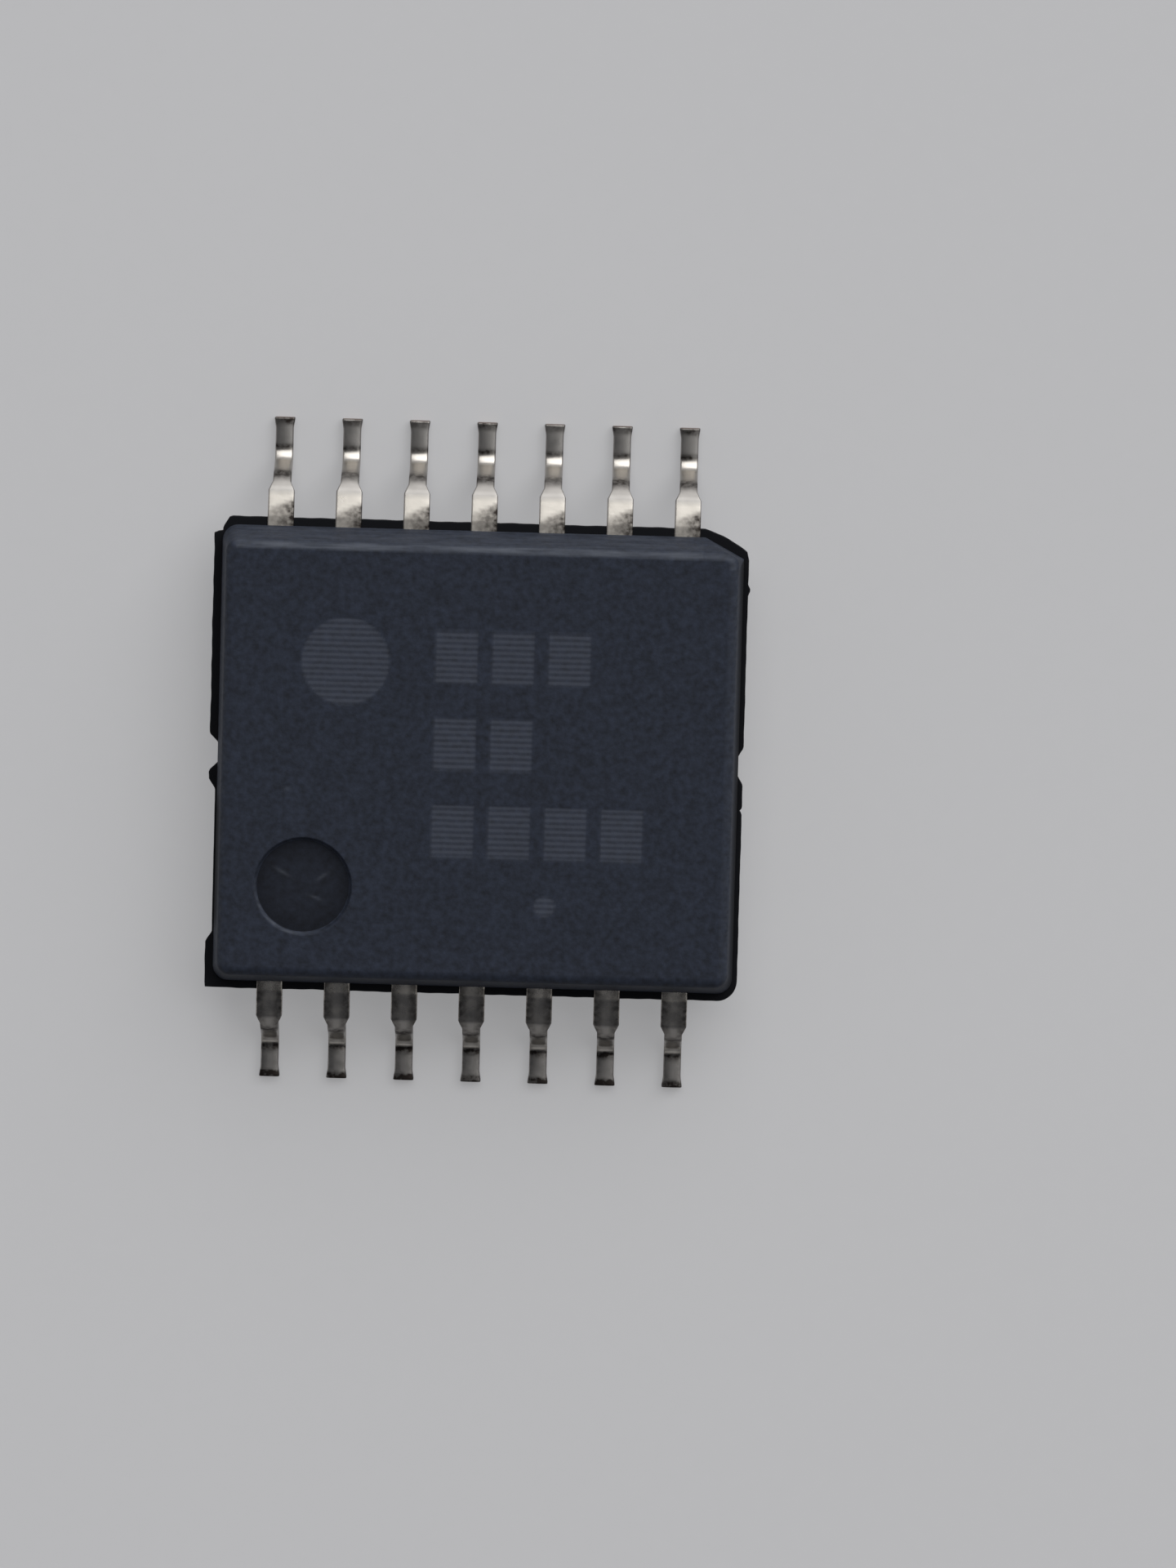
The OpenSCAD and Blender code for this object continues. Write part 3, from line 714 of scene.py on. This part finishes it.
def flash_rings(wall, outwards, settings):
    """Rings of the flash from its upper root to its lower one, as (plan, height over the parting plane).

    The cross-section is a thin blade with a rounded edge. Its width is the distance from the wall to
    the flash's outline, times a sum of sines that makes the edge a little uneven.
    """
    # The sawn tie bars show in their windows, so the wall stands back from them a little
    in_window = np.abs(wall[:, 1]) < settings.window_floor / 2
    root = wall - np.where(in_window, WINDOW_RELIEF, 0)[:, None] * outwards
    width = reach(root, outwards, flash_outline(settings))
    around = np.cumsum(np.linalg.norm(np.diff(root, axis=0, prepend=root[-1:]), axis=1)) / MM
    wave = sum(np.sin(rate * around + phase) for rate, phase in EDGE_WAVES) / len(EDGE_WAVES)
    width = width * (1 - UNEVEN * (1 - wave) / 2)
    nick = bell(root[:, 1], NICK_Y, NICK_SIZE) * (root[:, 0] > 0)
    width = np.maximum(width * (1 - NICK_SHARE * nick), LEAST_WIDTH)
    half = settings.flash_thickness / 2
    section = [(share, thick * half) for share, thick in FLASH_SECTION]
    section += [(share, -height) for share, height in reversed(section)]
    return [(root + (share * width)[:, None] * outwards, height) for share, height in section]


def underside_rings(plan, settings):
    """Rings that close the underside on to the round ejector mark, a shallow drafted well."""
    bearing = np.arctan2(plan[:, 1], plan[:, 0])
    round_way = np.stack([np.cos(bearing), np.sin(bearing)], 1)
    well, depth = settings.ejector_diameter / 2, settings.ejector_depth
    below = BODY_BOTTOM - PARTING_Z
    inwards = (well + LIP_ROUND) * round_way - plan
    rings = [(plan + share * inwards, below) for share in EJECTOR_ROUND]
    for radius, sunk in recess_lip(well, depth, EJECTOR_LIP, settings):
        rings.append((radius * round_way, below + sunk * depth))
    return rings + [(share * well * round_way, below + depth) for share in EJECTOR_FLOOR]


def top_face(first, steps, start, settings):
    """Points, quads, triangles and attributes of the top face, with its wear, painted highlight and shade.

    The face is a grid stretched between the four sides of the first ring. A square of it gives way to
    rings that close in on the round pin-1 recess, whose lip is a smooth step.
    """
    steps_x, steps_y = steps
    closed = np.append(np.arange(len(first)), 0)
    ends = np.cumsum([0, steps_y, steps_x, steps_y, steps_x])
    right, rear, left, front = (closed[a:b + 1] for a, b in zip(ends, ends[1:]))
    rear, left = rear[::-1], left[::-1]
    u = (first[front] - first[front[0]])[:, 0] / (first[front[-1]] - first[front[0]])[0]
    v = (first[right] - first[right[0]])[:, 1] / (first[right[-1]] - first[right[0]])[1]
    u, v = u[:, None, None], v[None, :, None]
    place = (1 - v) * first[front][:, None] + v * first[rear][:, None]
    place = place + (1 - u) * first[left][None] + u * first[right][None]
    place = place - (1 - u) * ((1 - v) * first[front[0]] + v * first[rear[0]])
    place = place - u * ((1 - v) * first[front[-1]] + v * first[rear[-1]])

    pin1 = np.array([settings.pin1_from_end, settings.pin1_from_side]) - body_wall(settings)
    rim, depth = settings.pin1_diameter / 2, settings.pin1_depth
    near = np.abs(place - pin1) < rim + HOLE_MARGIN * settings.grid_spacing
    columns = np.flatnonzero(near[:, steps_y // 2, 0])
    rows = np.flatnonzero(near[steps_x // 2, :, 1])
    free = np.zeros(place.shape[:2], bool)
    free[1:-1, 1:-1] = True
    free[columns[1]:columns[-1], rows[1]:rows[-1]] = False
    grid = np.full(free.shape, -1)
    grid[0], grid[-1], grid[:, 0], grid[:, -1] = left, right, front, rear
    grid[free] = start + np.arange(free.sum())
    x, y = place[free].T
    mark = laser_marks(x, y, settings)
    nick_x, nick_y, half_length, half_width, nick_depth = FACE_NICK
    nick = bell(x, nick_x, half_length) * bell(y, nick_y, half_width)
    points = [np.column_stack([x, y, BODY_TOP - settings.laser_depth * mark - nick_depth * nick])]
    quads = sheet_faces(grid)

    # Square hole in the grid, anticlockwise, and the rings from it down to the recess floor
    inside = np.arange(free.size).reshape(free.shape)[columns[0]:columns[-1] + 1, rows[0]:rows[-1] + 1]
    hole = np.concatenate([inside[:-1, 0], inside[-1, :-1], inside[:0:-1, -1], inside[0, :0:-1]])
    square = place.reshape(-1, 2)[hole] - pin1
    round_way = square / np.linalg.norm(square, axis=1)[:, None]
    mouth = rim + LIP_ROUND
    rings = [((square + mouth * round_way) / 2, 0), (PIN1_MOUTH * mouth * round_way, 0)]
    rings += [(radius * round_way, sunk) for radius, sunk in recess_lip(rim, depth, PIN1_LIP, settings)]
    rings += [(share * rim * round_way, 1) for share in PIN1_FLOOR]
    count = len(hole)
    numbers = start + free.sum() + np.arange(len(rings) * count).reshape(-1, count)
    numbers = np.vstack([grid.ravel()[hole], numbers])
    pole = numbers[-1, -1] + 1
    for plan, sunk in rings:
        points.append(np.column_stack([pin1 + plan, np.full(count, BODY_TOP - sunk * depth)]))
    points.append([[*pin1, BODY_TOP - depth]])
    quads = np.concatenate([quads[(quads >= 0).all(1)], band_faces(numbers)[:, ::-1]])

    # A painted highlight lies on the lip, on the side of the nearest corner of the body
    lit = np.maximum(round_way @ [-math.sqrt(0.5), -math.sqrt(0.5)], 0) ** 2
    rubbed_and_lit = np.outer([4 * sunk * (1 - sunk) for _, sunk in rings], lit).ravel()
    floor_x, floor_y = np.concatenate([plan for plan, _ in rings]).T / MM
    for scuff_x, scuff_y, half_length, half_width, bearing in SCUFFS:
        cos, sin = math.cos(math.radians(bearing)), math.sin(math.radians(bearing))
        away_x, away_y = floor_x - scuff_x, floor_y - scuff_y
        along, aside = away_x * cos + away_y * sin, away_y * cos - away_x * sin
        scuff = bell(along, 0, half_length) * bell(aside, 0, half_width)
        rubbed_and_lit = np.maximum(rubbed_and_lit, SCUFF_SHARE * scuff)
    outer = np.append(np.hypot(floor_x, floor_y) * MM / rim, 0)
    on_floor = np.floor(np.append(np.repeat([sunk for _, sunk in rings], count), 1))
    # Painted shade on the floor of the recess, deeper towards its lip
    painted_shade = on_floor * np.interp(outer ** 2, [0, 1], FLOOR_SHADE)
    wear_and_shading = {
        "laser": np.concatenate([mark, np.zeros_like(painted_shade)]),
        "painted_shade": np.concatenate([np.zeros_like(mark), painted_shade]),
        "worn_and_lit": np.concatenate([FACE_RUB_AND_HIGHLIGHT * nick, FACE_RUB_AND_HIGHLIGHT * rubbed_and_lit, [0]]),
    }
    return np.concatenate(points), quads, fan_faces(numbers[-1], pole)[:, ::-1], wear_and_shading


class CHIP_OT_mould_body(bpy.types.Operator):
    """Build the epoxy moulding with its flash, recesses and laser marks"""

    bl_idname = "chip.mould_body"
    bl_label = "Epoxy Moulding"

    def execute(self, context):
        settings = context.scene.chip_moulding
        upper, outwards, steps = wall_rings(settings)
        flash = flash_rings(upper[-1][0], outwards, settings)
        lower = [(plan, -height) for plan, height in reversed(upper)]
        levels = upper + flash + lower + underside_rings(lower[-1][0], settings)
        count = len(outwards)
        rings = [np.column_stack([plan, np.full(count, PARTING_Z + height)]) for plan, height in levels]
        rings = np.concatenate(rings)
        numbers = np.arange(len(rings)).reshape(-1, count)
        pole = len(rings)
        centre = np.array([[0, 0, rings[-1, 2]]])
        face, face_quads, face_triangles, face_wear_and_shading = top_face(upper[0][0], steps, pole + 1, settings)
        wear_and_shading = {name: np.zeros(pole + 1) for name in face_wear_and_shading}
        wall, blade = count * len(upper), count * len(upper + flash)
        wear_and_shading["worn_and_lit"][:wall], wear_and_shading["painted_shade"][:wall] = wall_light_and_shade(upper, outwards, settings)
        # The whole flash is painted black as shade
        wear_and_shading["painted_shade"][wall:blade] = 1
        piece = make_piece(
            "epoxy_moulding",
            np.concatenate([rings, centre, face]),
            np.concatenate([band_faces(numbers), face_quads]),
            np.concatenate([fan_faces(numbers[-1], pole), face_triangles]),
            moulded_epoxy(settings),
            {name: np.concatenate([wear_and_shading[name], face_wear_and_shading[name]]) for name in wear_and_shading},
        )
        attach(piece, "root")
        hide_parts("mould_body")
        return {"FINISHED"}


def gull_wing(settings):
    """Path of a lead: y, z and heading of its rings, their inset round the toe, and y of knee and heel.

    The heading is level to the edge of the flash, dips by the shoulder slope, turns down to the leg angle
    at the knee and back to level at the heel. The path is the running sum of small steps along it.
    """
    knee, heel = settings.knee_radius, settings.heel_radius
    slope, lean = settings.shoulder_slope, settings.leg_angle
    heel_y = TOE_Y - settings.foot_length
    # What is left for the two straight runs once the bends have had their share
    run = heel_y - FLASH_HIGH.y - (knee + heel) * math.sin(lean)
    drop = PARTING_Z - LEAD_THICKNESS / 2 - (knee + heel) * (1 - math.cos(lean))
    shoulder = (run * math.sin(lean) - drop * math.cos(lean)) / math.sin(lean - slope)
    leg = (drop * math.cos(slope) - run * math.sin(slope)) / math.sin(lean - slope)
    knee_y = FLASH_HIGH.y + knee * math.sin(slope) + shoulder * math.cos(slope)
    finger = FLASH_HIGH.y - FINGER_TIP_Y
    lengths = [finger, knee * slope, shoulder, knee * (lean - slope), leg, heel * lean, settings.foot_length]
    stops = np.concatenate([[0], np.cumsum(lengths)])
    headings = [0, 0, -slope, -slope, -lean, -lean, 0, 0]
    fine = np.linspace(0, stops[-1], PATH_STEPS + 1)
    middle = np.interp((fine[1:] + fine[:-1]) / 2, stops, headings)
    step = np.diff(fine)
    path_y = FINGER_TIP_Y + np.concatenate([[0], np.cumsum(step * np.cos(middle))])
    path_z = PARTING_Z + np.concatenate([[0], np.cumsum(step * np.sin(middle))])
    places = np.concatenate(
        [np.linspace(a, b, n, endpoint=False) for a, b, n in zip(stops, stops[1:], LEAD_RINGS)]
    )
    places = np.append(places[places < stops[-1] - TOE_ROUND], stops[-1] - TOE_ROUND)
    turn = np.linspace(0, math.pi / 2, TOE_STEPS + 1)[1:]
    inset = np.concatenate([np.zeros_like(places), TOE_ROUND * (1 - np.cos(turn))])
    places = np.concatenate([places, stops[-1] - TOE_ROUND * (1 - np.sin(turn))])
    y, z = np.interp(places, fine, path_y), np.interp(places, fine, path_z)
    return y, z, np.interp(places, stops, headings), inset, knee_y, heel_y


def form_lead(number, node, path, settings, material):
    """One lead: a rounded strip section carried along the path, and turned round for the front row.

    The stamped width and the sideways shift of the inner finger follow the distance from the body.
    """
    y, z, heading, inset, knee_y, _ = path
    half = LEAD_COUNT // 2
    front = number <= half
    row_place = (half + 1) / 2 - (number if front else number - half)
    root_y = body_wall(bpy.context.scene.chip_moulding)[1] - settings.root_length
    narrow_y, flare_y = knee_y + settings.taper_length, TOE_Y - settings.flare_length
    marks = [FINGER_TIP_Y, FINGER_TIP_Y + settings.tip_length, root_y, knee_y, narrow_y, flare_y, TOE_Y]
    widths = [settings.tip_width] * 2 + [settings.shoulder_width] * 2 + [settings.waist_width] * 2
    width = np.interp(y, marks, [*widths, settings.foot_width])
    shift = np.interp(y, marks[1:3], [row_place * (settings.tip_pitch - settings.pitch), 0])

    # Stamping leaves the upper corners rolled over and the lower ones nearly square
    radii = [SQUARE, ROLLED, ROLLED, SQUARE]
    shares = inner_shares(STRIP_POINTS)
    flat = outline(0, 0, radii, shares, shares)
    by_x = outline(1, 0, radii, shares, shares) - flat
    by_z = outline(0, 1, radii, shares, shares) - flat
    half_width = (width / 2 - inset)[:, None]
    half_thick = (LEAD_THICKNESS / 2 - inset)[:, None]
    section = flat + half_width[..., None] * by_x + half_thick[..., None] * by_z
    across, up = section[..., 0], section[..., 1]
    beside = across / half_width
    # Outwards of the knee the upper face is a little crowned across, by a parabola
    crown = CROWN * ease((y - knee_y) / CROWN_FADE)[:, None]
    up = up - np.where(up > 0, crown * beside ** 2, 0)
    points = np.stack([
        row_place * settings.pitch + shift[:, None] + across,
        y[:, None] - np.sin(heading)[:, None] * up,
        z[:, None] + np.cos(heading)[:, None] * up,
    ], -1)
    rows, count = beside.shape
    numbers = np.arange(rows * count).reshape(rows, count)
    tip_pole, toe_pole = rows * count, rows * count + 1
    points = np.concatenate([points.reshape(-1, 3), points[[0, -1]].mean(1)])
    if front:
        points = points * [-1, -1, 1]
    triangles = np.concatenate([fan_faces(numbers[0], tip_pole)[:, ::-1], fan_faces(numbers[-1], toe_pole)])
    wear_and_shading = lead_wear_and_shade(number, front, path, beside)
    return make_piece(f"formed_{node}", points, band_faces(numbers), triangles, material, wear_and_shading)


def lead_wear_and_shade(number, front, path, beside):
    """Attributes of a lead's points, ring by ring, then of the middles of its tip and toe.

    beside goes from -1 at the left side of the strip to 1 at the right one.
    """
    y, _, _, _, knee_y, heel_y = path
    shoulder_dull_and_shade, leg_and_heel_shade, toe_dirt, heel_place, heel_half = ROW_WEAR_AND_SHADE["front" if front else "rear"]
    # The forming tool dulls the lead from the knee outwards and scrapes the knee rough; the dullness also
    # darkens it as painted shade
    formed = [*(knee_y + KNEE_DULL_AND_SHADE), heel_y, heel_y + HEEL_FADE]
    dull_and_shaded = np.interp(y, formed, [shoulder_dull_and_shade, *DULLED_AND_SHADED])
    scraped = np.interp(y, knee_y + KNEE_SCRAPE, [0, 1, 1, 0])
    # A painted dark reflection lies in a band at the top of the leg, painted shade at the heel and dirt at
    # the toe, more of each in the front row
    own = OWN_HEIGHT * math.sin(OWN_TURN * number)
    on_leg, at_heel = bell(y, knee_y + LEG_SHADE[0], LEG_SHADE[1]), bell(y, heel_y + heel_place, heel_half)
    at_bends = np.maximum(on_leg, at_heel)
    at_toe = ease((y - TOE_Y + TOE_DIRT[0]) / TOE_DIRT[1])
    dirt_and_shade = np.maximum((leg_and_heel_shade + own) * at_bends, (toe_dirt + own) * at_toe)
    # The sides of the front leads get painted shade, and a film of resin lies over the roots of the rear
    # row: it is thicker and reaches further out along their right sides, where it carries painted shade
    if front:
        film = np.zeros_like(beside)
        edge = ease((np.abs(beside) - SIDE_START) / SIDE_FADE)
        sides = np.interp(y, [knee_y, heel_y], SIDE_SHADE)[:, None] * edge
    else:
        film_end = FLASH_HIGH.y + (FILM_REACH[0] + FILM_OWN * own + FILM_REACH[1] * beside) * MM
        film = ease((film_end - y[:, None]) / FILM_FADE)
        sides = film * (FILM_RESIN_AND_SHADE[0] + FILM_RESIN_AND_SHADE[1] * beside)
    cut = np.zeros_like(beside)
    cut[-1] = 1
    return {
        "cut": np.append(cut, [1, 1]),
        "dull_and_shaded": np.append(np.repeat(dull_and_shaded, beside.shape[1]), [0, 1]),
        "dirt_and_shade": np.append(np.maximum(dirt_and_shade[:, None], sides), [0, 0]),
        "scraped": np.append(np.maximum(scraped[:, None], film), [0, 0]),
    }


class CHIP_OT_form_leads(bpy.types.Operator):
    """Build the two rows of gull-wing leads"""

    bl_idname = "chip.form_leads"
    bl_label = "Formed Leads"

    def execute(self, context):
        settings = context.scene.chip_leads
        material = matt_tin(settings)
        path = gull_wing(settings)
        for number in range(1, LEAD_COUNT + 1):
            node = f"lead_{number:02d}"
            piece = form_lead(number, node, path, settings, material)
            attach(piece, "root")
            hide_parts(node)
        return {"FINISHED"}


def coat(node, material):
    """Gives a solid its finish, with its mesh as it is."""
    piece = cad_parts[node]
    piece.data.materials.clear()
    piece.data.materials.append(material)


class CHIP_OT_finish_die_pad(bpy.types.Operator):
    """Finish the die pad and its tie bars"""

    bl_idname = "chip.finish_die_pad"
    bl_label = "Die Pad"

    def execute(self, context):
        coat("die_pad", rolled_copper(context.scene.chip_leads))
        return {"FINISHED"}


class CHIP_OT_finish_die(bpy.types.Operator):
    """Finish the die and the adhesive under it"""

    bl_idname = "chip.finish_die"
    bl_label = "Die"

    def execute(self, context):
        coat("die_attach", silver_adhesive())
        coat("die", silicon_die())
        return {"FINISHED"}


class CHIP_OT_finish_bond_wires(bpy.types.Operator):
    """Finish the bond wires"""

    bl_idname = "chip.finish_bond_wires"
    bl_label = "Bond Wires"

    def execute(self, context):
        material = drawn_gold()
        for number in range(1, LEAD_COUNT + 1):
            coat(f"bond_wire_{number:02d}", material)
        return {"FINISHED"}


def lay_floor(settings):
    """A level square of foam under the feet."""
    corners = np.array([[-1, -1, 0], [1, -1, 0], [1, 1, 0], [-1, 1, 0]]) * FLOOR_REACH
    floor = make_piece(
        "floor", corners, np.array([[0, 1, 2, 3]]), np.empty((0, 3), int), packing_foam(settings)
    )


def set_lights(scene):
    """A key soft box over the rear row, weak ones at the right and over the front row, and a sky.

    Each box faces the chip, and its power is radiance times pi times its area. The sky is dark above the
    front row.
    """
    for name, (place, size, radiance) in SOFT_BOXES.items():
        lamp = bpy.data.lights.new(name, "AREA")
        lamp.shape = "RECTANGLE"
        lamp.size, lamp.size_y = size
        lamp.energy = radiance * math.pi * size[0] * size[1]
        holder = bpy.data.objects.new(name, lamp)
        holder.location = place
        holder.rotation_euler = (-Vector(place)).to_track_quat("-Z", "Y").to_euler()
        scene.collection.objects.link(holder)
    world = bpy.data.worlds.new("studio")
    world.use_nodes = True
    tree = world.node_tree
    tree.nodes.clear()
    way = add(tree, "TexCoord", output="Generated")
    toward = add(tree, "VectorMath", {0: way, 1: DARK_WAY}, "Value", operation="DOT_PRODUCT")
    share = add(tree, "MapRange", {"Value": toward, "From Min": DARK_START, "From Max": DARK_FULL})
    pale, dark = opaque(linear("D0D0D4")), opaque(linear("3B3D43"))
    sky = add(tree, "Mix", {SHARE: share, UNDER: pale, OVER: dark}, MIXED, data_type="RGBA")
    background = add(tree, "Background", {"Color": sky, "Strength": 1.0})
    add(tree, "OutputWorld", {"Surface": background})
    scene.world = world


def place_camera(scene, settings):
    """A long lens, leaning a little towards the rear row, with the picture turned by the roll."""
    back = Vector((math.sin(settings.tilt_x), math.sin(settings.tilt_y), 0))
    back.z = math.sqrt(1 - back.length_squared)
    across = (Vector((1, 0, 0)) - back.x * back).normalized()
    up = back.cross(across)
    right = math.cos(settings.roll) * across + math.sin(settings.roll) * up
    up = back.cross(right)
    aim = Vector((settings.aim_x, settings.aim_y, PARTING_Z))
    turned = Matrix((right, up, back)).transposed().to_4x4()
    lens = bpy.data.cameras.new("camera")
    lens.lens = settings.lens
    lens.sensor_width = SENSOR_WIDTH
    lens.clip_start = NEAR_SHARE * settings.distance
    holder = bpy.data.objects.new("camera", lens)
    holder.matrix_world = Matrix.Translation(aim + settings.distance * back) @ turned
    scene.collection.objects.link(holder)
    scene.camera = holder


class CHIP_OT_set_stage(bpy.types.Operator):
    """Set the floor, the lights and the camera"""

    bl_idname = "chip.set_stage"
    bl_label = "Stage"

    def execute(self, context):
        settings = context.scene.chip_stage
        lay_floor(settings)
        set_lights(context.scene)
        place_camera(context.scene, settings)
        context.scene.view_settings.view_transform = "Standard"
        return {"FINISHED"}


class CHIP_PT_panel(bpy.types.Panel):
    """Sidebar panel with the chip's settings and build steps"""

    bl_idname = "CHIP_PT_panel"
    bl_label = "Small-Outline Chip"
    bl_space_type = "VIEW_3D"
    bl_region_type = "UI"
    bl_category = "Chip"

    def draw(self, context):
        for operator in OPERATORS:
            self.layout.operator(operator.bl_idname)
        for group in SETTINGS:
            box = self.layout.box()
            for name in SETTINGS[group].__annotations__:
                box.prop(getattr(context.scene, group), name)


SETTINGS = {"chip_moulding": MouldingSettings, "chip_leads": LeadSettings, "chip_stage": StageSettings}
OPERATORS = (
    CHIP_OT_mould_body,
    CHIP_OT_form_leads,
    CHIP_OT_finish_die_pad,
    CHIP_OT_finish_die,
    CHIP_OT_finish_bond_wires,
    CHIP_OT_set_stage,
)
CLASSES = (*SETTINGS.values(), *OPERATORS, CHIP_PT_panel)


def register():
    """Registers the classes and hangs the settings on the scene."""
    for cls in CLASSES:
        bpy.utils.register_class(cls)
    for name, group in SETTINGS.items():
        setattr(bpy.types.Scene, name, PointerProperty(type=group))


def unregister():
    """Takes the settings and the classes away again."""
    for name in SETTINGS:
        delattr(bpy.types.Scene, name)
    for cls in reversed(CLASSES):
        bpy.utils.unregister_class(cls)


def main():
    """Builds every piece in order."""
    register()
    bpy.ops.chip.mould_body()
    bpy.ops.chip.form_leads()
    bpy.ops.chip.finish_die_pad()
    bpy.ops.chip.finish_die()
    bpy.ops.chip.finish_bond_wires()
    bpy.ops.chip.set_stage()


if __name__ == "__main__":
    main()
